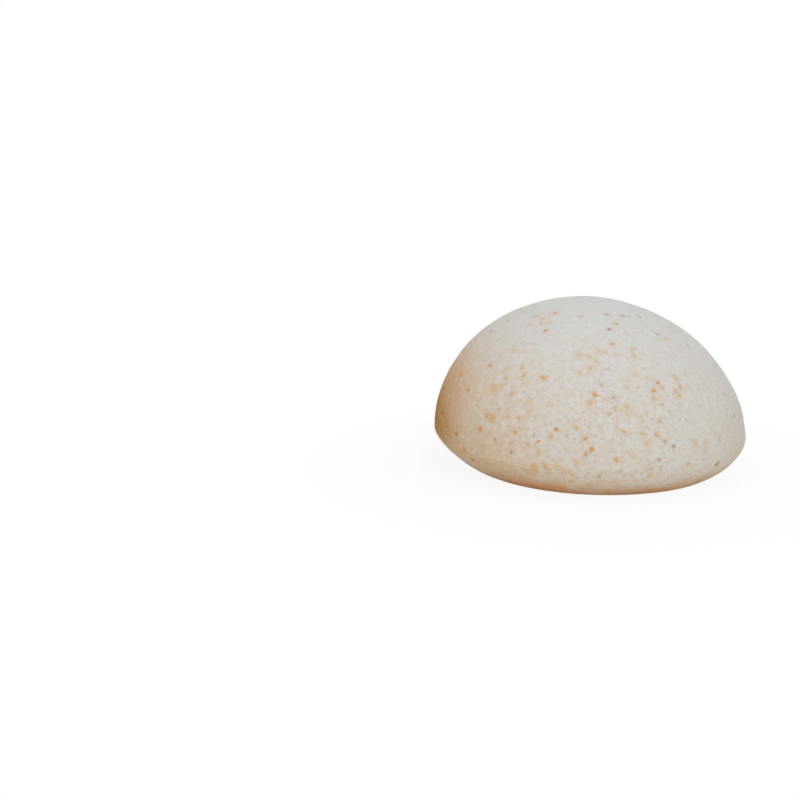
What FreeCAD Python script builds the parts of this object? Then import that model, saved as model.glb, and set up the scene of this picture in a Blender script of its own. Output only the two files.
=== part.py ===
# Half-dome facial sponge of moulded konjac gel, with crushed-shell scrub grains cast into it.
# The frame has +Z up and -Y to the front. The origin is on the flat face, under the widest ring.
# The body is one moulding. Every grain is a solid of its own, in a pocket of its own shape.
import FreeCAD, Part

import math
import os
import random

from FreeCAD import Rotation, Vector

# Body, in millimetres
DIAMETER = 80.0  # across the widest ring
HEIGHT = 44.0  # from the flat face to the crown
FLAT_DIAMETER = 58.8  # across the flat face that it rests on
RIM_HEIGHT = 9.4  # from the flat face up to the widest ring
CROWN_LEAN = -2.05  # sideways drift of the crown, along X
FLAT_DRIFT = 1.7  # sideways drift of the flat face, along X

# How full the section is: 2 makes an ellipse, and less cuts nearer to a straight slope
CROWN_FULLNESS = 1.94
RIM_FULLNESS = 1.47

# The rings that the skin runs through, in degrees: -90 is the flat face, 0 the widest ring, 90 the crown
RING_LATITUDES = (-90, -72, -50, -30, -12, 0, 14, 28, 42, 55, 67, 78, 85)
CROWN_LATITUDE = 90

# Grains, in millimetres across
RED_BROWN_GRAIN = 1.15
ORANGE_GRAIN = 1.1
AMBER_GRAIN = 0.85
OCHRE_GRAIN = 0.9
UMBER_GRAIN = 0.8
FLAT_FACE_GRAIN = 0.9
CORE_GRAIN = 1.0

# How a grain sits, in millimetres
GRAIN_PROUD = 0.18  # its top facet above the skin
GIRDLE_DEPTH = 0.08  # its widest outline under the skin, which locks it in
GEL_BETWEEN = 0.25  # least gel left between two strewn pockets
CORE_COVER = 5.0  # least gel over a grain in the core

# Shape of a grain: a chip with a flat top facet, a girdle and a pointed root
CHIP_CORNERS = 5
CORNER_WANDER = 0.2  # how far a corner strays, over the step from corner to corner
CORNER_LOSS = 0.25  # how much of its reach a corner may lose
TOP_FACET = 0.7  # the top facet over the girdle
ROOT_LENGTH = 0.6  # the root over the size across

# Grains that stand out on the front, as (bearing, latitude) in degrees.
# Bearing 0 is the front and grows towards +X.
RED_BROWN_FRONT = [(10, 59), (31, 67), (17, 69), (-54, -21), (44, -18)]
ORANGE_FRONT = [
    (-38, 69), (18, 62), (-33, 57), (8, 51), (-54, 37), (-25, 35), (23, 33), (33, 30), (-4, 29),
    (20, 30), (-37, 27), (-18, 15), (-8, 12), (-48, 11), (-6, 8), (-61, 6), (-8, 6), (2, 4), (-56, -1),
]
AMBER_FRONT = [
    (-10, 68), (-44, 64), (-41, 61), (18, 48), (3, 47), (60, 46), (17, 45), (-5, 40), (-10, 38),
    (-36, 38), (-34, 35), (33, 34), (-42, 33), (-71, 30), (31, 27), (19, 27), (-60, 25), (3, 24),
    (59, 23), (-41, 20), (19, 18), (-32, 18), (-46, 17), (-11, 16), (5, 15), (12, 14), (17, 13),
    (-33, 12), (-20, 12), (-26, -3), (-22, -3), (-8, -36),
]
OCHRE_FRONT = [
    (-54, 65), (-35, 62), (-49, 59), (46, 51), (0, 48), (-10, 46), (-5, 45), (-45, 45), (-2, 43),
    (14, 37), (9, 32), (-43, 29), (-6, 26), (-47, 27), (-29, 25), (12, 20), (-29, 20), (-37, 18),
    (13, 10), (-28, 8), (32, 8), (37, 7), (-24, 5), (8, 5), (-11, 2), (-18, -1), (28, -4),
    (13, -5), (-21, -16), (-47, -21),
]
UMBER_FRONT = [
    (38, 66), (49, 65), (43, 54), (-1, 33), (3, 28), (-77, 27), (1, 22), (60, 14), (-26, 12),
    (20, 10), (23, 8), (-34, 8), (-41, 8), (-69, 7), (45, 7), (-34, 4), (17, 3), (-4, -19),
]

# Grains strewn over the rest, between bearings and latitudes in degrees
BACK_BEARINGS = (75, 285)
BACK_LATITUDES = (-45, 84)
CORE_BEARINGS = (0, 360)
CORE_LATITUDES = (-60, 90)
RED_BROWN_BACK = 7
ORANGE_BACK = 20
AMBER_BACK = 34
OCHRE_BACK = 30
UMBER_BACK = 18
FLAT_FACE_COUNT = 26
CORE_COUNT = 30
SEED = 11


def ring(latitude):
    """The body's radius, height and sideways drift at a latitude."""
    turn = math.radians(abs(latitude))
    power = 2 / (RIM_FULLNESS if latitude < 0 else CROWN_FULLNESS)
    inward = math.cos(turn) ** power
    onward = math.sin(turn) ** power
    if latitude < 0:
        radius = FLAT_DIAMETER / 2 + (DIAMETER - FLAT_DIAMETER) / 2 * inward
        return radius, RIM_HEIGHT * (1 - onward), FLAT_DRIFT * onward
    return DIAMETER / 2 * inward, RIM_HEIGHT + (HEIGHT - RIM_HEIGHT) * onward, CROWN_LEAN * onward


def skin_point(bearing, latitude):
    """The point of the skin at a bearing and latitude."""
    radius, height, drift = ring(latitude)
    turn = math.radians(bearing)
    return Vector(drift + radius * math.sin(turn), -radius * math.cos(turn), height)


def skin_normal(bearing, latitude, step=0.1):
    """The outward normal of the skin there, from points a small step apart."""
    along = skin_point(bearing + step, latitude) - skin_point(bearing - step, latitude)
    up = skin_point(bearing, latitude + step) - skin_point(bearing, latitude - step)
    return along.cross(up).normalize()


def ring_wire(latitude):
    """One ring of the body, as four quarter arcs."""
    radius, height, drift = ring(latitude)
    circle = Part.Circle(Vector(drift, 0, height), Vector(0, 0, 1), radius)
    quarter = math.pi / 2
    return Part.Wire([Part.Arc(circle, n * quarter, (n + 1) * quarter).toShape() for n in range(4)])


def dome():
    """The moulded half dome, before any grain is set in it."""
    crown = Part.Vertex(skin_point(0, CROWN_LATITUDE))
    return Part.makeLoft([ring_wire(latitude) for latitude in RING_LATITUDES] + [crown], True)


def chip(seat, normal, size, top, chance):
    """One grain, with its top facet at a height over its seat and its girdle under it."""
    upright = Rotation(Vector(0, 0, 1), normal)
    start = chance.uniform(0, 2 * math.pi)
    corners = []
    for n in range(CHIP_CORNERS):
        turn = start + 2 * math.pi * (n + chance.uniform(-CORNER_WANDER, CORNER_WANDER)) / CHIP_CORNERS
        reach = size / 2 * (1 - chance.uniform(0, CORNER_LOSS))
        corners.append(Vector(reach * math.cos(turn), reach * math.sin(turn), 0))
    facet = [seat + upright.multVec(corner * TOP_FACET + Vector(0, 0, top)) for corner in corners]
    girdle = [seat + upright.multVec(corner - Vector(0, 0, GIRDLE_DEPTH)) for corner in corners]
    root = seat - normal * (GIRDLE_DEPTH + ROOT_LENGTH * size)
    outlines = [facet]
    for n in range(CHIP_CORNERS):
        m = (n + 1) % CHIP_CORNERS
        outlines.append([girdle[n], girdle[m], facet[m], facet[n]])
        outlines.append([girdle[m], girdle[n], root])
    faces = [Part.Face(Part.makePolygon(outline + outline[:1])) for outline in outlines]
    return Part.makeSolid(Part.makeShell(faces))


class Grains:
    """Sets grains one after another, and keeps strewn ones out of pockets that are taken."""

    def __init__(self):
        self.chance = random.Random(SEED)
        self.pockets = []

    def set_grain(self, seat, normal, size, top=GRAIN_PROUD):
        self.pockets.append((seat, size))
        return chip(seat, normal, size, top, self.chance)

    def is_free(self, seat, size):
        return all(
            seat.distanceToPoint(pocket) > (size + pocket_size) / 2 + GEL_BETWEEN
            for pocket, pocket_size in self.pockets
        )

    def draw_place(self, bearings, latitudes):
        """A bearing and latitude between limits, drawn so that the grains lie evenly thick."""
        low, high = (math.sin(math.radians(limit)) for limit in latitudes)
        return self.chance.uniform(*bearings), math.degrees(math.asin(self.chance.uniform(low, high)))

    def on_front(self, places, size):
        return [self.set_grain(skin_point(*place), skin_normal(*place), size) for place in places]

    def over_back(self, count, size):
        grains = []
        while len(grains) < count:
            place = self.draw_place(BACK_BEARINGS, BACK_LATITUDES)
            if self.is_free(skin_point(*place), size):
                grains += self.on_front([place], size)
        return grains

    def in_flat_face(self, count, size):
        grains = []
        while len(grains) < count:
            radius = (FLAT_DIAMETER / 2 - size) * math.sqrt(self.chance.random())
            turn = self.chance.uniform(0, 2 * math.pi)
            seat = Vector(FLAT_DRIFT + radius * math.cos(turn), radius * math.sin(turn), 0)
            if self.is_free(seat, size):
                grains.append(self.set_grain(seat, Vector(0, 0, -1), size, top=0))
        return grains

    def in_core(self, count, size):
        grains = []
        heart = Vector(0, 0, RIM_HEIGHT)
        while len(grains) < count:
            ray = skin_point(*self.draw_place(CORE_BEARINGS, CORE_LATITUDES)) - heart
            reach = (ray.Length - CORE_COVER) * self.chance.random() ** (1 / 3)
            seat = heart + ray.normalize() * reach
            if self.is_free(seat, size):
                grains.append(self.set_grain(seat, ray, size))
        return grains


def build():
    """All nodes of the sponge, by name."""
    kinds = {
        "red_brown_shell_grains": (RED_BROWN_GRAIN, RED_BROWN_FRONT, RED_BROWN_BACK),
        "orange_shell_grains": (ORANGE_GRAIN, ORANGE_FRONT, ORANGE_BACK),
        "amber_shell_grains": (AMBER_GRAIN, AMBER_FRONT, AMBER_BACK),
        "ochre_shell_grains": (OCHRE_GRAIN, OCHRE_FRONT, OCHRE_BACK),
        "umber_shell_grains": (UMBER_GRAIN, UMBER_FRONT, UMBER_BACK),
    }
    grains = Grains()
    groups = {node: grains.on_front(front, size) for node, (size, front, _) in kinds.items()}
    for node, (size, _, back) in kinds.items():
        groups[node] += grains.over_back(back, size)
    groups["flat_face_grains"] = grains.in_flat_face(FLAT_FACE_COUNT, FLAT_FACE_GRAIN)
    groups["core_grains"] = grains.in_core(CORE_COUNT, CORE_GRAIN)
    nodes = {node: Part.makeCompound(group) for node, group in groups.items()}
    nodes["sponge_body"] = dome().cut([grain for group in groups.values() for grain in group])
    return nodes


os.makedirs("parts", exist_ok=True)
for name, shape in build().items():
    shape.exportStep(f"parts/{name}.step")
    print(f"{name}: {len(shape.Solids)} solids, {shape.Volume:.2f} mm3, valid {shape.isValid()}")
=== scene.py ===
import bpy
import bmesh
import math
import random
import numpy as np
from mathutils import Matrix, Quaternion, Vector, kdtree, noise


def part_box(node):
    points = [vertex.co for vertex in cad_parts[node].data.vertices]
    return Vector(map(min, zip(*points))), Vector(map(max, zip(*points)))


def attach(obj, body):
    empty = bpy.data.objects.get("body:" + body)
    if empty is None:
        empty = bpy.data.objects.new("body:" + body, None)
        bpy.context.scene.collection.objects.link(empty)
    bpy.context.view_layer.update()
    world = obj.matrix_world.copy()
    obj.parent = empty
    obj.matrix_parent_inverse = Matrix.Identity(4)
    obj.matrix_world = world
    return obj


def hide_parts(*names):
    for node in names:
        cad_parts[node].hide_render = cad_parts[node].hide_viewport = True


# Konjac sponge: a half dome of pored gel with crushed-shell chips in it
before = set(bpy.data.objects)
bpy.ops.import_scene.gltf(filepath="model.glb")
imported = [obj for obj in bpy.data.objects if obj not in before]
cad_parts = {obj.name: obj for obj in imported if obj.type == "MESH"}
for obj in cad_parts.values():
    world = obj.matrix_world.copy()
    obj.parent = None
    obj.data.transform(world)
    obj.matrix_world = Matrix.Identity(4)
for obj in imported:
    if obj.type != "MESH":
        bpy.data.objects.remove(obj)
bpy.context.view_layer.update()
mm = 0.001  # sizes and places are written in millimetres, and Blender's are in metres
noiseSpan = (0.3, 0.7)  # nearly all values of a noise texture lie between these
noiseMiddle = 0.5


def hexColour(code):
    # sRGB hex to the linear values that a shader takes
    parts = [int(code[i:i + 2], 16) / 255 for i in (1, 3, 5)]
    linear = [c / 12.92 if c <= 0.04045 else ((c + 0.055) / 1.055) ** 2.4 for c in parts]
    return (*linear, 1.0)


def perMetre(size):
    # texture scale for a pattern that repeats about every size millimetres
    return 1 / (size * mm)


def addNode(tree, kind, inputs=None, **settings):
    # one node, with its settings, its plain values and its links
    node = tree.nodes.new("ShaderNode" + kind)
    for name, value in settings.items():
        setattr(node, name, value)
    for socket, value in (inputs or {}).items():
        if isinstance(value, bpy.types.NodeSocket):
            tree.links.new(value, node.inputs[socket])
        else:
            node.inputs[socket].default_value = value
    return node


def newMaterial(name):
    material = bpy.data.materials.new(name)
    material.use_nodes = True
    material.node_tree.nodes.clear()
    return material, material.node_tree


def newMesh(name, bm):
    mesh = bpy.data.meshes.new(name)
    bm.to_mesh(mesh)
    bm.free()
    return mesh


def newPiece(name, mesh, material):
    mesh.materials.append(material)
    piece = bpy.data.objects.new(name, mesh)
    bpy.context.scene.collection.objects.link(piece)
    return piece


# Camera, at the angle that the photograph was taken from
view = {
    "place": (-49.0, -348.7, 92.2),
    "tiltDown": 0.212,  # radians under level
    "lens": 61.65,
    "sensor": 36.0,
    "clipStart": 10.0,
}


def makeCamera():
    data = bpy.data.cameras.new("camera")
    data.lens = view["lens"]
    data.sensor_width = view["sensor"]
    data.clip_start = view["clipStart"] * mm
    camera = bpy.data.objects.new("camera", data)
    camera.location = Vector(view["place"]) * mm
    camera.rotation_euler = (math.pi / 2 - view["tiltDown"], 0, 0)
    bpy.context.scene.collection.objects.link(camera)
    bpy.context.scene.camera = camera
    print("camera set")


makeCamera()

# Shell grains: where each one sits is read from the frame
grains = {
    "kinds": {
        # node: slot, colour, tint half-width, tint strength, how much of a chip's upper half shows
        "red_brown_shell_grains": ("red_brown_shell", "#b47846", 0.62, 0.45, 0.74),
        "orange_shell_grains": ("orange_shell", "#cf8e40", 0.58, 0.52, 0.76),
        "amber_shell_grains": ("amber_shell", "#d2a456", 0.60, 0.58, 0.74),
        "ochre_shell_grains": ("ochre_shell", "#d4ae72", 0.78, 0.48, 0.50),
        "umber_shell_grains": ("umber_shell", "#a8783a", 0.40, 0.55, 0.66),
        "flat_face_grains": ("amber_shell", "#d2a456", 0.58, 0.55, 0.60),
        "core_grains": ("orange_shell", "#cf8e40", 0.55, 0.0, 0.64),
    },
    "girdleDepth": 0.08,  # from the skin down to the widest outline of a grain in the frame
    "weld": 0.0001,  # corners in the frame that are nearer than this are one
    "sinkIn": (11.0, 41.5, 0.6),  # heights between which chips sink deeper, and how much less then shows
    "tintLength": (0.95, 1.35),  # of a tint, over its half-width
    "tintBreadth": (0.75, 1.0),
    "tintReach": 3.0,  # half-widths from a grain to where its tint is gone
}


def readSeats(node):
    # every grain of a node as (its place on the skin, outward direction, size across)
    bm = bmesh.new()
    bm.from_mesh(node.data)
    bmesh.ops.remove_doubles(bm, verts=bm.verts, dist=grains["weld"] * mm)
    left = set(bm.verts)
    found = []
    while left:
        island = [left.pop()]
        for vert in island:
            for edge in vert.link_edges:
                other = edge.other_vert(vert)
                if other in left:
                    left.remove(other)
                    island.append(other)
        points = [vert.co / mm for vert in island]
        middle = sum(points, Vector()) / len(points)
        root = max(points, key=lambda p: (p - middle).length)
        outward = (middle - root).normalized()
        girdle = max(points, key=lambda p: outward.cross(p - root).length)
        across = 2 * outward.cross(girdle - root).length
        seat = root + outward * (outward.dot(girdle - root) + grains["girdleDepth"])
        found.append((seat, outward, across))
    bm.free()
    # sorted by place, so that chance treats them alike in every run
    return sorted(found, key=lambda grain: tuple(round(c, 3) for c in grain[0]))


def shownAt(seat):
    # how much of a chip stands out of the gel: less towards the crown, where it is sunk deeper
    low, high, most = grains["sinkIn"]
    return 1 - most * min(max((seat[2] - low) / (high - low), 0), 1)


seats = {node: readSeats(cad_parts[node]) for node in grains["kinds"]}
print("grain seats read:", {node: len(found) for node, found in seats.items()})

# Sponge skin: the moulded half dome
skin = {
    "flatDiameter": 58.8,
    "rimHeight": 9.4,
    "crownLean": -2.05,  # sideways, along X
    "flatDrift": 1.7,
    "crownFullness": 1.94,  # 2 makes an ellipse
    "rimFullness": 1.47,
    "crownRows": 400,  # steps of the section, down to the widest ring
    "rimRows": 200,  # from there to the flat face
    "flatRows": 60,  # and in to its middle
    "cells": 128,  # along each side of the six patches
    "flatShare": 0.55,  # how finely the flat face is cut, against the rest
    "flatHollow": 0.12,  # how far the flat face draws in at its middle
    "swell": ((14.0, 0.22), (4.5, 0.07)),  # (size, height) of the uneven moulding
    "swellStart": 2.0,  # height over the flat face at which it swells in full
    "press": ((-38.0, -2.0, 18.0), 20.0, 0.4),  # place, size and depth of a soft dent in the left side
    "pores": 5200,
    "poreRadius": (0.38, 0.7),
    "poreDepth": (0.06, 0.17),
    "poreCrowd": 9.0,  # size of the patches where pores crowd
    "poreThreshold": (-0.6, 0.3),  # noise that a pore needs there, drawn between these
    "poreStray": 0.2,  # how far a pore lies off a point of the mesh
    "grainDimple": 0.04,
    "seed": 7,
}


def arch(latitude, fullness):
    # how far the section has drawn in and moved on, as shares, at a latitude from the widest ring
    turn = math.radians(latitude)
    power = 2 / fullness
    return max(math.cos(turn), 0) ** power, math.sin(turn) ** power


def profile():
    # radius, height and sideways drift, from the crown down to the middle of the flat face
    low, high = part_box("sponge_body")
    radius = (high.y - low.y) / 2 / mm
    height = high.z / mm
    flat = skin["flatDiameter"] / 2
    rim = skin["rimHeight"]
    rows = []
    for latitude in np.linspace(90, 0, skin["crownRows"]):
        inward, onward = arch(latitude, skin["crownFullness"])
        rows.append((radius * inward, rim + (height - rim) * onward, skin["crownLean"] * onward, 1.0))
    for latitude in np.linspace(0, 90, skin["rimRows"])[1:]:
        inward, onward = arch(latitude, skin["rimFullness"])
        rows.append((flat + (radius - flat) * inward, rim * (1 - onward), skin["flatDrift"] * onward, 1.0))
    for share in np.linspace(1, 0, skin["flatRows"])[1:]:
        hollow = skin["flatHollow"] * (1 - share ** 2)
        rows.append((flat * share, hollow, skin["flatDrift"], skin["flatShare"]))
    rows = np.array(rows)
    steps = np.hypot(np.diff(rows[:, 0]), np.diff(rows[:, 1])) * rows[1:, 3]
    along = np.concatenate([[0], np.cumsum(steps)])
    return along / along[-1], rows[:, 0], rows[:, 1], rows[:, 2]


def roundedCube():
    # a cube cut into small cells and blown up to a ball
    bm = bmesh.new()
    bmesh.ops.create_cube(bm, size=2)
    bmesh.ops.subdivide_edges(bm, edges=bm.edges[:], cuts=skin["cells"] - 1, use_grid_fill=True)
    mesh = newMesh("konjac_sponge_skin", bm)
    points = np.empty(len(mesh.vertices) * 3)
    mesh.vertices.foreach_get("co", points)
    points = np.tan(points.reshape(-1, 3) * math.pi / 4)
    return mesh, points / np.linalg.norm(points, axis=1)[:, None]


def setPoints(mesh, points):
    mesh.vertices.foreach_set("co", (points * mm).astype(np.float32).ravel())
    mesh.update()


def vertexNormals(mesh):
    normals = np.empty(len(mesh.vertices) * 3, np.float32)
    mesh.vertex_normals.foreach_get("vector", normals)
    return normals.reshape(-1, 3).astype(float)


def swellAt(point):
    # how far the moulding stands out or in at a point, and not at all on the flat face
    free = min(max(point[2] / skin["swellStart"], 0), 1)
    uneven = sum(tall * noise.noise(Vector(point) / size) for size, tall in skin["swell"])
    middle, wide, deep = skin["press"]
    far = (Vector(point) - Vector(middle)).length / wide
    return free * (uneven - deep * math.exp(-far * far))


def pitPores(points, tree, chance):
    # depth of the open pores at every point
    pore = np.zeros(len(points))
    stray = skin["poreStray"]
    made = 0
    while made < skin["pores"]:
        middle = Vector(points[chance.randrange(len(points))])
        if noise.noise(middle / skin["poreCrowd"]) < chance.uniform(*skin["poreThreshold"]):
            continue
        made += 1
        middle += Vector([chance.uniform(-stray, stray) for _ in range(3)])
        wide = chance.uniform(*skin["poreRadius"])
        deep = chance.uniform(*skin["poreDepth"])
        for _, i, far in tree.find_range(middle, wide):
            pore[i] = max(pore[i], deep * (1 - (far / wide) ** 2) ** 2)
    return pore


def stainGrains(points, tree, chance):
    # the tint that each grain lends to the gel over and round it, and the dimple that it sits in
    stain = np.zeros((len(points), 4))
    dimple = np.zeros(len(points))
    for node, (_, colour, spread, strength, _) in grains["kinds"].items():
        tint = hexColour(colour)[:3]
        for seat, outward, _ in seats[node]:
            along = outward.orthogonal().normalized()
            along.rotate(Quaternion(outward, chance.uniform(0, math.pi)))
            beside = outward.cross(along)
            wide = spread * chance.uniform(*grains["tintLength"])
            narrow = spread * chance.uniform(*grains["tintBreadth"])
            for near, i, _ in tree.find_range(seat, grains["tintReach"] * spread):
                a = along.dot(near - seat) / wide
                b = beside.dot(near - seat) / narrow
                weight = 0.5 ** (a * a + b * b)
                tinted = strength * weight
                if tinted > stain[i, 3]:
                    stain[i] = (*tint, tinted)
                dimple[i] = max(dimple[i], skin["grainDimple"] * weight)
    return stain, dimple


def makeSkin(material):
    chance = random.Random(skin["seed"])
    mesh, ball = roundedCube()
    share, radii, heights, drifts = profile()
    polar = np.arccos(np.clip(ball[:, 2], -1, 1)) / math.pi
    bearing = np.arctan2(ball[:, 1], ball[:, 0])
    radius = np.interp(polar, share, radii)
    points = np.stack([np.interp(polar, share, drifts) + radius * np.cos(bearing),
                       radius * np.sin(bearing), np.interp(polar, share, heights)], axis=1)
    setPoints(mesh, points)
    normals = vertexNormals(mesh)
    print("skin cut:", len(points), "points")

    tree = kdtree.KDTree(len(points))
    for i, p in enumerate(points):
        tree.insert(p, i)
    tree.balance()
    pore = pitPores(points, tree, chance)
    stain, dimple = stainGrains(points, tree, chance)
    swell = np.array([swellAt(p) for p in points])
    points += normals * (swell - pore - dimple)[:, None]
    points[:, 2] = np.maximum(points[:, 2], 0)
    mesh.attributes.new("grainStain", "FLOAT_COLOR", "POINT").data.foreach_set("color", stain.ravel())
    deepest = skin["poreDepth"][1]
    mesh.attributes.new("poreDepth", "FLOAT", "POINT").data.foreach_set("value", pore / deepest)
    mesh.polygons.foreach_set("use_smooth", np.ones(len(mesh.polygons), bool))
    setPoints(mesh, points)
    piece = newPiece("konjac_sponge_skin", mesh, material)
    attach(piece, "root")
    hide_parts("sponge_body")
    print("skin made, with", skin["pores"], "pores")


# Konjac gel, set in a mould and frozen to an open foam: matte, moist, a little see-through, finely pored
gel = {
    "cool": "#d5d5d3",
    "warm": "#d4c8b9",  # in small clouds
    "noises": {
        # name: size across, detail
        "clouds": (1.5, 4.0),  # warm clouds, where the fine pores crowd too
        "drift": (22.0, 1.0),  # damp and dry patches
        "crowd": (7.0, 1.0),  # patches where the flecks crowd
        "stray": (1.5, 1.0),  # bends the outlines of flecks and fine pores
        "grit": (0.7, 2.0),  # coarser than in the real foam, so that it shows
    },
    "cloudSpan": (0.34, 0.68),  # of the cloud noise, from cool to warm
    "driftSpan": (0.35, 0.65),  # of the drift noise, from damp to dry
    "smoothTop": (24.0, 42.0, 0.22),  # heights between which the skin smooths, and what is left
    "smoothSide": (-28.0, 34.0, 0.38),  # along X, likewise
    "wander": 0.8,  # how far the outlines of flecks and fine pores bend
    # the tan low on the rim is partly drier gel and partly painted shade and warm light thrown up from below
    "rim": {
        "tan": "#cf982c",
        "flatEdge": (25.0, 31.0),  # from the axis, over which the flat face gives way to the rim
        "height": (0.8, 6.0),  # over the flat face, from full tan to none
        "strength": (0.09, 0.35),  # of the tan, where damp and where dry
        "fray": (9.0, 70.0),  # mm and degrees by which its border and the ends of a stretch stray
        "stretches": (
            # bearing and half-width (degrees) of a browner stretch, and its strength
            (-27.0, 27.0, 0.55),
            (21.0, 22.0, 0.36),
            (88.0, 34.0, 0.3),
            (138.0, 26.0, 0.36),
            (-128.0, 40.0, 0.34),
        ),
        "warmBouncePatches": (
            # place and half-width of a soft tan patch of painted warm reflected light above it, and its
            # strength
            ((-24.0, -28.0, 8.0), 15.0, 0.24),
            ((31.0, -18.0, 8.0), 16.0, 0.14),
        ),
    },
    "pore": {
        # colour and strength of the painted shade in the pores
        "shade": "#ba8e5e",
        "strength": 0.31,
        "apart": 1.25,  # wider than in the real foam, so that they show
        "hole": (0.46, 0.12),  # from the brink of a fine pore to its floor, over that
        "cloudSpan": (0.35, 0.6),  # of the cloud noise, from sparse to crowded
        "crowding": (0.2, 1.0),  # how much they show at either end
        "fadeAside": (9.0, 34.0, 0.45),  # either way along X, as for smoothTop
    },
    "fleck": {
        "crowdSpan": (0.36, 0.62),  # of the crowd noise, from sparse to crowded
        "crowding": (0.3, 1.6),
        "scatter": 0.7,  # 0 lays them out on a grid
        "softEdge": (-0.04, 0.16),  # inward across an outline, over the spacing
        "layers": (
            # spacing, widest half-width over that, share of bare places, opacity, tints
            (1.6, 0.31, 0.34, (0.15, 0.75), ("#dab362", "#d29c40", "#caa976", "#dcbd70")),
            # darker flecks: painted shade of small pits
            (2.3, 0.18, 0.40, (0.15, 0.65), ("#a8865e", "#9c7a4e", "#b4966e", "#aa885a")),
            (3.6, 0.32, 0.25, (0.25, 0.85), ("#d9b074", "#dab87a", "#d4a670", "#dcbb7c")),
            (7.5, 0.40, 0.20, (0.25, 0.85), ("#d4b07c", "#d2aa72", "#d6b684", "#cfab7a")),
        ),
    },
    "speckle": (0.94, 1.045),  # darkest and lightest grit, over the colour
    "speckleCalm": 0.5,  # power of smoothTop by which the speckle fades
    "relief": (0.3, 0.13),  # strength and height of grit and fine pores
    "roughness": (0.52, 0.72),  # where damp and where dry
    "ior": 1.38,
    "gloss": 0.12,  # open foam scatters most of the shine
    "glow": (0.25, 1.2),  # share of the light that goes under the skin, and how deep
    "glowColours": (1.0, 0.75, 0.5),  # how deep red, green and blue go, over that
}


def gelField(tree):
    # what the gel's patterns share: places, noises, bent outlines, and how uneven the skin is
    place = addNode(tree, "TexCoord").outputs["Object"]
    field = {"place": place, "axes": addNode(tree, "SeparateXYZ", {"Vector": place}).outputs}
    for name, (size, detail) in gel["noises"].items():
        field[name] = addNode(tree, "TexNoise", {"Vector": place, "Scale": perMetre(size),
                                                 "Detail": detail}).outputs
    centred = addNode(tree, "VectorMath", {0: field["stray"]["Color"], 1: [noiseMiddle] * 3},
                      operation="SUBTRACT")
    bent = addNode(tree, "VectorMath", {0: centred.outputs[0], 1: [gel["wander"] * mm] * 3, 2: place},
                   operation="MULTIPLY_ADD")
    field["bent"] = bent.outputs[0]
    for name, axis in (("smoothTop", "Z"), ("smoothSide", "X")):
        start, end, least = gel[name]
        smooth = addNode(tree, "MapRange", {"Value": field["axes"][axis], "From Min": start * mm,
                                            "From Max": end * mm, "To Min": 1.0, "To Max": least})
        field[name] = smooth.outputs[0]
    uneven = addNode(tree, "Math", {0: field["smoothTop"], 1: field["smoothSide"]}, operation="MULTIPLY")
    field["uneven"] = uneven.outputs[0]
    return field


def cloudGround(tree, field):
    # cool gel with small warm clouds, fainter where the skin smooths
    cool, warm = gel["cloudSpan"]
    cloudy = addNode(tree, "MapRange", {"Value": field["clouds"]["Fac"], "From Min": cool, "From Max": warm})
    warmth = addNode(tree, "Math", {0: cloudy.outputs[0], 1: field["uneven"]}, operation="MULTIPLY")
    return addNode(tree, "Mix", {"Factor": warmth.outputs[0], "A": hexColour(gel["cool"]),
                                 "B": hexColour(gel["warm"])}, data_type="RGBA").outputs["Result"]


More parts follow.
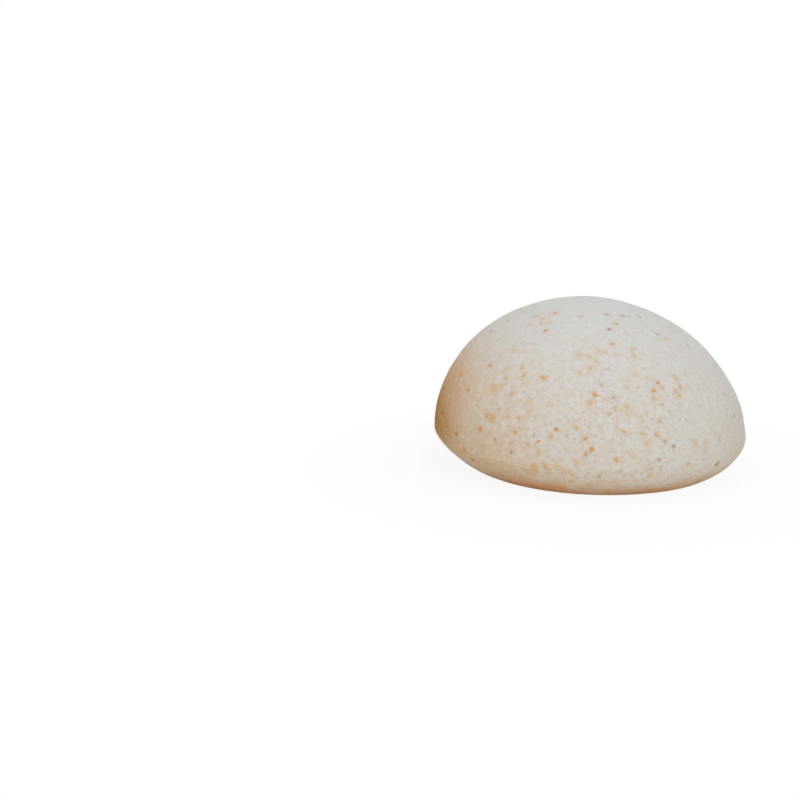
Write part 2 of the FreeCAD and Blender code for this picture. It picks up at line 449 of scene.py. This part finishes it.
def tanRimAndPaintedBounce(tree, field, colour):
    # low on the rim the gel turns tan, unevenly and browner in some stretches: partly drier gel, partly
    # painted shade and warm light thrown up from the floor; over it, soft tan patches of painted warm
    # reflected light
    rim = gel["rim"]
    tan = hexColour(rim["tan"])
    level = addNode(tree, "VectorMath", {0: field["place"], 1: (1, 1, 0)}, operation="MULTIPLY")
    radius = addNode(tree, "VectorMath", {0: level.outputs[0]}, operation="LENGTH")
    inner, outer = rim["flatEdge"]
    outside = addNode(tree, "MapRange", {"Value": radius.outputs["Value"], "From Min": inner * mm,
                                         "From Max": outer * mm})
    frayed = addNode(tree, "Math", {0: field["crowd"]["Fac"], 1: noiseMiddle}, operation="SUBTRACT")
    upDown, sideways = rim["fray"]
    height = addNode(tree, "Math", {0: frayed.outputs[0], 1: upDown * mm, 2: field["axes"]["Z"]},
                     operation="MULTIPLY_ADD")
    full, none = rim["height"]
    edge = addNode(tree, "MapRange", {"Value": height.outputs[0], "From Min": full * mm,
                                      "From Max": none * mm, "To Min": 1.0, "To Max": 0.0},
                   interpolation_type="SMOOTHSTEP")
    ringed = addNode(tree, "Math", {0: edge.outputs[0], 1: outside.outputs[0]}, operation="MULTIPLY")
    damp, dry = gel["driftSpan"]
    weakest, strongest = rim["strength"]
    brown = addNode(tree, "MapRange", {"Value": field["drift"]["Fac"], "From Min": damp, "From Max": dry,
                                       "To Min": weakest, "To Max": strongest})
    front = addNode(tree, "Math", {0: field["axes"]["Y"], 1: -1.0}, operation="MULTIPLY")
    heading = addNode(tree, "Math", {0: field["axes"]["X"], 1: front.outputs[0]}, operation="ARCTAN2")
    bearing = addNode(tree, "Math", {0: frayed.outputs[0], 1: math.radians(sideways),
                                     2: heading.outputs[0]}, operation="MULTIPLY_ADD")
    for middle, wide, strength in rim["stretches"]:
        aside = addNode(tree, "Math", {0: bearing.outputs[0], 1: math.radians(middle)}, operation="SUBTRACT")
        off = addNode(tree, "Math", {0: aside.outputs[0]}, operation="ABSOLUTE")
        more = addNode(tree, "MapRange", {"Value": off.outputs[0], "From Max": math.radians(wide),
                                          "To Min": strength, "To Max": 0.0},
                       interpolation_type="SMOOTHSTEP")
        brown = addNode(tree, "Math", {0: brown.outputs[0], 1: more.outputs[0]}, operation="ADD")
    # painted shade and warm bounce low on the rim, over some drier gel
    amount = addNode(tree, "Math", {0: ringed.outputs[0], 1: brown.outputs[0]}, operation="MULTIPLY")
    colour = addNode(tree, "Mix", {"Factor": amount.outputs[0], "A": colour, "B": tan},
                     data_type="RGBA").outputs["Result"]
    # soft tan patches of painted warm reflected light
    for middle, wide, strength in rim["warmBouncePatches"]:
        apart = addNode(tree, "VectorMath", {0: field["place"], 1: Vector(middle) * mm}, operation="DISTANCE")
        patch = addNode(tree, "MapRange", {"Value": apart.outputs["Value"], "From Max": wide * mm,
                                           "To Min": strength, "To Max": 0.0},
                        interpolation_type="SMOOTHSTEP")
        kept = addNode(tree, "Math", {0: patch.outputs[0], 1: outside.outputs[0]}, operation="MULTIPLY")
        colour = addNode(tree, "Mix", {"Factor": kept.outputs[0], "A": colour, "B": tan},
                         data_type="RGBA").outputs["Result"]
    return colour


def finePores(tree, field):
    # 1 on the floor of each fine pore, and less where they are sparse
    pore = gel["pore"]
    cells = addNode(tree, "TexVoronoi", {"Vector": field["bent"], "Scale": perMetre(pore["apart"])})
    brink, bottom = pore["hole"]
    hole = addNode(tree, "MapRange", {"Value": cells.outputs["Distance"], "From Min": brink,
                                      "From Max": bottom}, interpolation_type="SMOOTHSTEP")
    sparse, crowded = pore["cloudSpan"]
    least, most = pore["crowding"]
    crowd = addNode(tree, "MapRange", {"Value": field["clouds"]["Fac"], "From Min": sparse,
                                       "From Max": crowded, "To Min": least, "To Max": most})
    fine = addNode(tree, "Math", {0: hole.outputs[0], 1: crowd.outputs[0]}, operation="MULTIPLY")
    return fine.outputs[0]


def shadePores(tree, field, fine, colour):
    # painted shade in the open pores of the mesh and in the fine ones, less near the crown and to either side
    pore = gel["pore"]
    cut = addNode(tree, "Attribute", attribute_name="poreDepth").outputs["Fac"]
    dark = addNode(tree, "Math", {0: fine, 1: cut}, operation="MAXIMUM")
    near, far, least = pore["fadeAside"]
    aside = addNode(tree, "Math", {0: field["axes"]["X"]}, operation="ABSOLUTE")
    milder = addNode(tree, "MapRange", {"Value": aside.outputs[0], "From Min": near * mm,
                                        "From Max": far * mm, "To Min": 1.0, "To Max": least})
    spread = addNode(tree, "Math", {0: field["smoothTop"], 1: milder.outputs[0]}, operation="MULTIPLY")
    seen = addNode(tree, "Math", {0: dark.outputs[0], 1: spread.outputs[0]}, operation="MULTIPLY")
    shade = addNode(tree, "Math", {0: seen.outputs[0], 1: pore["strength"]}, operation="MULTIPLY")
    return addNode(tree, "Mix", {"Factor": shade.outputs[0], "A": colour,
                                 "B": hexColour(pore["shade"])}, data_type="RGBA").outputs["Result"]


def strewFlecks(tree, field, colour):
    # sunken flecks of shell, and darker flecks that are painted shade of small pits, each with its own size,
    # depth and tint
    fleck = gel["fleck"]
    sparse, crowded = fleck["crowdSpan"]
    least, most = fleck["crowding"]
    patchy = addNode(tree, "MapRange", {"Value": field["crowd"]["Fac"], "From Min": sparse,
                                        "From Max": crowded, "To Min": least, "To Max": most})
    strewn = addNode(tree, "Math", {0: field["uneven"], 1: patchy.outputs[0]}, operation="MULTIPLY")
    outer, inner = fleck["softEdge"]
    for spacing, widest, bare, (weakest, strongest), tints in fleck["layers"]:
        spots = addNode(tree, "TexVoronoi", {"Vector": field["bent"], "Scale": perMetre(spacing),
                                             "Randomness": fleck["scatter"]})
        lot = addNode(tree, "SeparateColor", {"Color": spots.outputs["Color"]})
        reach = addNode(tree, "MapRange", {"Value": lot.outputs["Red"], "From Min": bare, "To Max": widest})
        inward = addNode(tree, "Math", {0: reach.outputs[0], 1: spots.outputs["Distance"]},
                         operation="SUBTRACT")
        spot = addNode(tree, "MapRange", {"Value": inward.outputs[0], "From Min": outer, "From Max": inner},
                       interpolation_type="SMOOTHSTEP")
        faint = addNode(tree, "MapRange", {"Value": lot.outputs["Green"], "To Min": weakest,
                                           "To Max": strongest})
        whole = addNode(tree, "Math", {0: spot.outputs[0], 1: faint.outputs[0]}, operation="MULTIPLY")
        amount = addNode(tree, "Math", {0: whole.outputs[0], 1: strewn.outputs[0]}, operation="MULTIPLY")
        tint = addNode(tree, "ValToRGB", {"Fac": lot.outputs["Blue"]})
        tint.color_ramp.interpolation = "CONSTANT"
        stops = tint.color_ramp.elements
        for step, code in enumerate(tints):
            stop = stops[step] if step < len(stops) else stops.new(step / len(tints))
            stop.position = step / len(tints)
            stop.color = hexColour(code)
        colour = addNode(tree, "Mix", {"Factor": amount.outputs[0], "A": colour,
                                       "B": tint.outputs["Color"]}, data_type="RGBA").outputs["Result"]
    return colour


def konjacGel():
    material, tree = newMaterial("konjac_gel_moulded_foam")
    field = gelField(tree)
    fine = finePores(tree, field)
    colour = cloudGround(tree, field)
    colour = tanRimAndPaintedBounce(tree, field, colour)
    colour = shadePores(tree, field, fine, colour)
    colour = strewFlecks(tree, field, colour)
    stain = addNode(tree, "Attribute", attribute_name="grainStain")
    colour = addNode(tree, "Mix", {"Factor": stain.outputs["Alpha"], "A": colour,
                                   "B": stain.outputs["Color"]}, data_type="RGBA").outputs["Result"]

    # fine speckle and relief over all of it
    grit = field["grit"]["Fac"]
    low, high = noiseSpan
    darkest, lightest = gel["speckle"]
    speckle = addNode(tree, "MapRange", {"Value": grit, "From Min": low, "From Max": high,
                                         "To Min": darkest, "To Max": lightest})
    calm = addNode(tree, "Math", {0: field["smoothTop"], 1: gel["speckleCalm"]}, operation="POWER")
    speckled = addNode(tree, "HueSaturation", {"Color": colour, "Value": speckle.outputs[0],
                                               "Fac": calm.outputs[0]})
    relief = addNode(tree, "Math", {0: grit, 1: fine}, operation="SUBTRACT")
    strength, height = gel["relief"]
    bump = addNode(tree, "Bump", {"Height": relief.outputs[0], "Strength": strength,
                                  "Distance": height * mm})
    damp, dry = gel["driftSpan"]
    smoothest, roughest = gel["roughness"]
    rough = addNode(tree, "MapRange", {"Value": field["drift"]["Fac"], "From Min": damp, "From Max": dry,
                                       "To Min": smoothest, "To Max": roughest})
    share, depth = gel["glow"]
    shader = addNode(tree, "BsdfPrincipled", {
        "Base Color": speckled.outputs["Color"],
        "Roughness": rough.outputs[0],
        "IOR": gel["ior"],
        "Specular IOR Level": gel["gloss"],
        "Normal": bump.outputs["Normal"],
        "Subsurface Weight": share,
        "Subsurface Radius": gel["glowColours"],
        "Subsurface Scale": depth * mm,
    })
    addNode(tree, "OutputMaterial", {"Surface": shader.outputs["BSDF"]})
    print("gel mixed")
    return material


makeSkin(konjacGel())

# Crushed shell: dull broken chips, each under a thinner or thicker film of gel than the next
chip = {
    "fineness": 3,  # how often the ball that a chip starts from is divided
    "cuts": 9,  # flat breaks on each chip
    "cutDepth": (0.68, 0.95),  # from the middle, over half the size
    "length": (1.15, 1.65),  # these three over the size of the grain in the frame
    "breadth": (1.0, 1.4),
    "flatness": (0.7, 0.9),
    "fibre": (0.35, 2.0),  # size across and detail of the streaks in the shell, coarse enough to show
    "shades": (0.9, 1.1),  # darkest and lightest streak, over the colour
    "relief": (0.3, 0.05),  # strength and height of the streaks
    "film": 0.38,  # the most that a film of gel pales a chip
    "crownFilm": (39.5, 42.0, 0.45),  # heights between which it thickens, and how much more it then pales
    "roughness": 0.6,
    "ior": 1.5,
    "seed": 3,
}


def crushedShell(slot, colour):
    material, tree = newMaterial(slot + "_crushed")
    place = addNode(tree, "TexCoord").outputs["Object"]
    across, detail = chip["fibre"]
    fibre = addNode(tree, "TexNoise", {"Vector": place, "Scale": perMetre(across), "Detail": detail})
    low, high = noiseSpan
    darkest, lightest = chip["shades"]
    shade = addNode(tree, "MapRange", {"Value": fibre.outputs["Fac"], "From Min": low, "From Max": high,
                                       "To Min": darkest, "To Max": lightest})
    streaked = addNode(tree, "HueSaturation", {"Color": hexColour(colour), "Value": shade.outputs[0]})
    each = addNode(tree, "NewGeometry").outputs["Random Per Island"]
    film = addNode(tree, "MapRange", {"Value": each, "To Max": chip["film"]})
    axes = addNode(tree, "SeparateXYZ", {"Vector": place})
    start, end, most = chip["crownFilm"]
    thicker = addNode(tree, "MapRange", {"Value": axes.outputs["Z"], "From Min": start * mm,
                                         "From Max": end * mm, "To Max": most})
    cover = addNode(tree, "Math", {0: film.outputs[0], 1: thicker.outputs[0]}, operation="ADD")
    tone = addNode(tree, "Mix", {"Factor": cover.outputs[0], "A": streaked.outputs["Color"],
                                 "B": hexColour(gel["warm"])}, data_type="RGBA")
    strength, height = chip["relief"]
    bump = addNode(tree, "Bump", {"Height": fibre.outputs["Fac"], "Strength": strength,
                                  "Distance": height * mm})
    shader = addNode(tree, "BsdfPrincipled", {
        "Base Color": tone.outputs["Result"],
        "Roughness": chip["roughness"],
        "IOR": chip["ior"],
        "Normal": bump.outputs["Normal"],
    })
    addNode(tree, "OutputMaterial", {"Surface": shader.outputs["BSDF"]})
    return material


def breakChip(bm, seat, outward, across, showing, chance):
    # a ball cut back by flat breaks, laid in its pocket with its broad side outward
    made = bmesh.ops.create_icosphere(bm, subdivisions=chip["fineness"], radius=1)["verts"]
    for _ in range(chip["cuts"]):
        way = Vector([chance.gauss(0, 1) for _ in range(3)]).normalized()
        reach = chance.uniform(*chip["cutDepth"])
        for vert in made:
            over = vert.co.dot(way) - reach
            if over > 0:
                vert.co -= way * over
    halves = [across / 2 * chance.uniform(*chip[side]) for side in ("length", "breadth", "flatness")]
    size = Matrix.Diagonal((*halves, 1))
    spin = Matrix.Rotation(chance.uniform(0, 2 * math.pi), 4, "Z")
    stand = outward.to_track_quat("Z", "Y").to_matrix().to_4x4()
    top = max((size @ vert.co).z for vert in made)
    sunk = top * (1 - showing) + skin["grainDimple"] - swellAt(seat)
    middle = seat - outward * sunk
    lay = Matrix.Scale(mm, 4) @ Matrix.Translation(middle) @ stand @ spin @ size
    bmesh.ops.transform(bm, verts=made, matrix=lay)
    for vert in made:
        vert.co.z = max(vert.co.z, 0)  # ground flush with the flat face


def makeGrains():
    chance = random.Random(chip["seed"])
    shells = {}
    for node, (slot, colour, _, _, showing) in grains["kinds"].items():
        bm = bmesh.new()
        for seat, outward, across in seats[node]:
            breakChip(bm, seat, outward, across, showing * shownAt(seat), chance)
        if slot not in shells:
            shells[slot] = crushedShell(slot, colour)
        name = node.replace("_grains", "_chips")
        piece = newPiece(name, newMesh(name, bm), shells[slot])
        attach(piece, "root")
        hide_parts(node)
    print("grains broken and set")


makeGrains()

# Studio: a pale floor under soft light from all round, with a warm card close on the left
studio = {
    "white": "#ffffff",
    "sky": "#c6c6c6",
    "floorSize": 3000.0,
    "floorDrop": 0.02,  # how far the floor lies under the flat face, so that no two faces share a plane
    "floorBounce": "#f3ecde",  # the tone that the floor throws back on the right
    "floorWarm": "#f2e6cc",  # and on the left
    "floorTurn": (-45.0, 15.0),  # along X, from the left one to the right one
    "floorNear": "#ffb848",  # and in the narrow gap under the rim
    "nearReach": (31.0, 42.0),  # from the middle, where that gives way to the rest
    "shadowShare": 0.09,  # how much of the shadow shows on the floor
    "shadowReach": (45.0, 90.0),  # from the middle, where the shadow fades out
    "card": "#fcc450",
    "cardPlace": (-46.0, 8.0, 5.0),  # middle of the card's lower edge
    "cardSize": (76.0, 34.0),  # length and height
    "lamps": {
        # name: place, size, watts
        "overhead": ((-100.0, -100.0, 750.0), 700.0, 1.6),
        "front": ((80.0, -850.0, 250.0), 600.0, 2.1),
    },
    "lampAim": (0.0, 0.0, 20.0),
}


def seenDirectly(tree):
    # 1 where the eye, a reflection or glass looks at the background
    path = addNode(tree, "LightPath")
    first = addNode(tree, "Math", {0: path.outputs["Is Camera Ray"], 1: path.outputs["Is Glossy Ray"]},
                    operation="MAXIMUM")
    return addNode(tree, "Math", {0: first.outputs[0], 1: path.outputs["Is Transmission Ray"]},
                   operation="MAXIMUM").outputs[0]


def paintFloor():
    # white to the eye, with the object's shadow, but it throws back warmer light on the left and from the gap
    material, tree = newMaterial("studio_floor_matte_paint")
    place = addNode(tree, "TexCoord").outputs["Object"]
    far = addNode(tree, "VectorMath", {0: place}, operation="LENGTH")
    near, gone = studio["shadowReach"]
    shadow = addNode(tree, "MapRange", {"Value": far.outputs["Value"], "From Min": near * mm,
                                        "From Max": gone * mm, "To Min": 1 - studio["shadowShare"],
                                        "To Max": 1.0}, interpolation_type="SMOOTHSTEP")
    left, right = studio["floorTurn"]
    axes = addNode(tree, "SeparateXYZ", {"Vector": place})
    turn = addNode(tree, "MapRange", {"Value": axes.outputs["X"], "From Min": left * mm,
                                      "From Max": right * mm})
    bounce = addNode(tree, "Mix", {"Factor": turn.outputs[0], "A": hexColour(studio["floorWarm"]),
                                   "B": hexColour(studio["floorBounce"])}, data_type="RGBA")
    near, gone = studio["nearReach"]
    away = addNode(tree, "MapRange", {"Value": far.outputs["Value"], "From Min": near * mm,
                                      "From Max": gone * mm}, interpolation_type="SMOOTHSTEP")
    toned = addNode(tree, "Mix", {"Factor": away.outputs[0], "A": hexColour(studio["floorNear"]),
                                  "B": bounce.outputs["Result"]}, data_type="RGBA")
    seen = seenDirectly(tree)
    paint = addNode(tree, "Mix", {"Factor": seen, "A": toned.outputs["Result"],
                                  "B": hexColour(studio["white"])}, data_type="RGBA")
    matte = addNode(tree, "BsdfDiffuse", {"Color": paint.outputs["Result"]})
    glow = addNode(tree, "Emission", {"Color": hexColour(studio["white"]), "Strength": 1.0})
    share = addNode(tree, "Math", {0: seen, 1: shadow.outputs[0]}, operation="MULTIPLY")
    mix = addNode(tree, "MixShader", {0: share.outputs[0], 1: matte.outputs[0], 2: glow.outputs[0]})
    addNode(tree, "OutputMaterial", {"Surface": mix.outputs[0]})
    return material


def paintCard():
    # plain board, which only throws its warm tone on to the object
    material, tree = newMaterial("studio_card_matte_board")
    matte = addNode(tree, "BsdfDiffuse", {"Color": hexColour(studio["card"])})
    addNode(tree, "OutputMaterial", {"Surface": matte.outputs[0]})
    return material


def layFloor():
    bm = bmesh.new()
    bmesh.ops.create_grid(bm, x_segments=1, y_segments=1, size=studio["floorSize"] * mm / 2)
    floor = newPiece("floor", newMesh("floor", bm), paintFloor())
    floor.location.z = -studio["floorDrop"] * mm


def standCard():
    x, y, z = studio["cardPlace"]
    length, height = studio["cardSize"]
    corners = [(x, y - length / 2, z), (x, y + length / 2, z), (x, y + length / 2, z + height),
               (x, y - length / 2, z + height)]
    bm = bmesh.new()
    bm.faces.new([bm.verts.new(Vector(corner) * mm) for corner in corners])
    card = newPiece("warm_card", newMesh("warm_card", bm), paintCard())
    card.visible_camera = False


def makeSky():
    # soft light from all round, and plain white where it is seen
    world = bpy.data.worlds.new("studio")
    world.use_nodes = True
    tree = world.node_tree
    tree.nodes.clear()
    light = addNode(tree, "Background", {"Color": hexColour(studio["sky"]), "Strength": 1.0})
    blank = addNode(tree, "Background", {"Color": hexColour(studio["white"]), "Strength": 1.0})
    mix = addNode(tree, "MixShader", {0: seenDirectly(tree), 1: light.outputs[0], 2: blank.outputs[0]})
    addNode(tree, "OutputWorld", {"Surface": mix.outputs[0]})
    bpy.context.scene.world = world


def hangLamps():
    aim = Vector(studio["lampAim"])
    for name, (place, size, watts) in studio["lamps"].items():
        data = bpy.data.lights.new(name, "AREA")
        data.shape = "DISK"
        data.size = size * mm
        data.energy = watts
        data.color = hexColour(studio["white"])[:3]
        lamp = bpy.data.objects.new(name, data)
        lamp.location = Vector(place) * mm
        lamp.rotation_euler = (aim - Vector(place)).to_track_quat("-Z", "Y").to_euler()
        bpy.context.scene.collection.objects.link(lamp)


layFloor()
standCard()
makeSky()
hangLamps()
bpy.context.scene.view_settings.view_transform = "Standard"
print("studio lit")
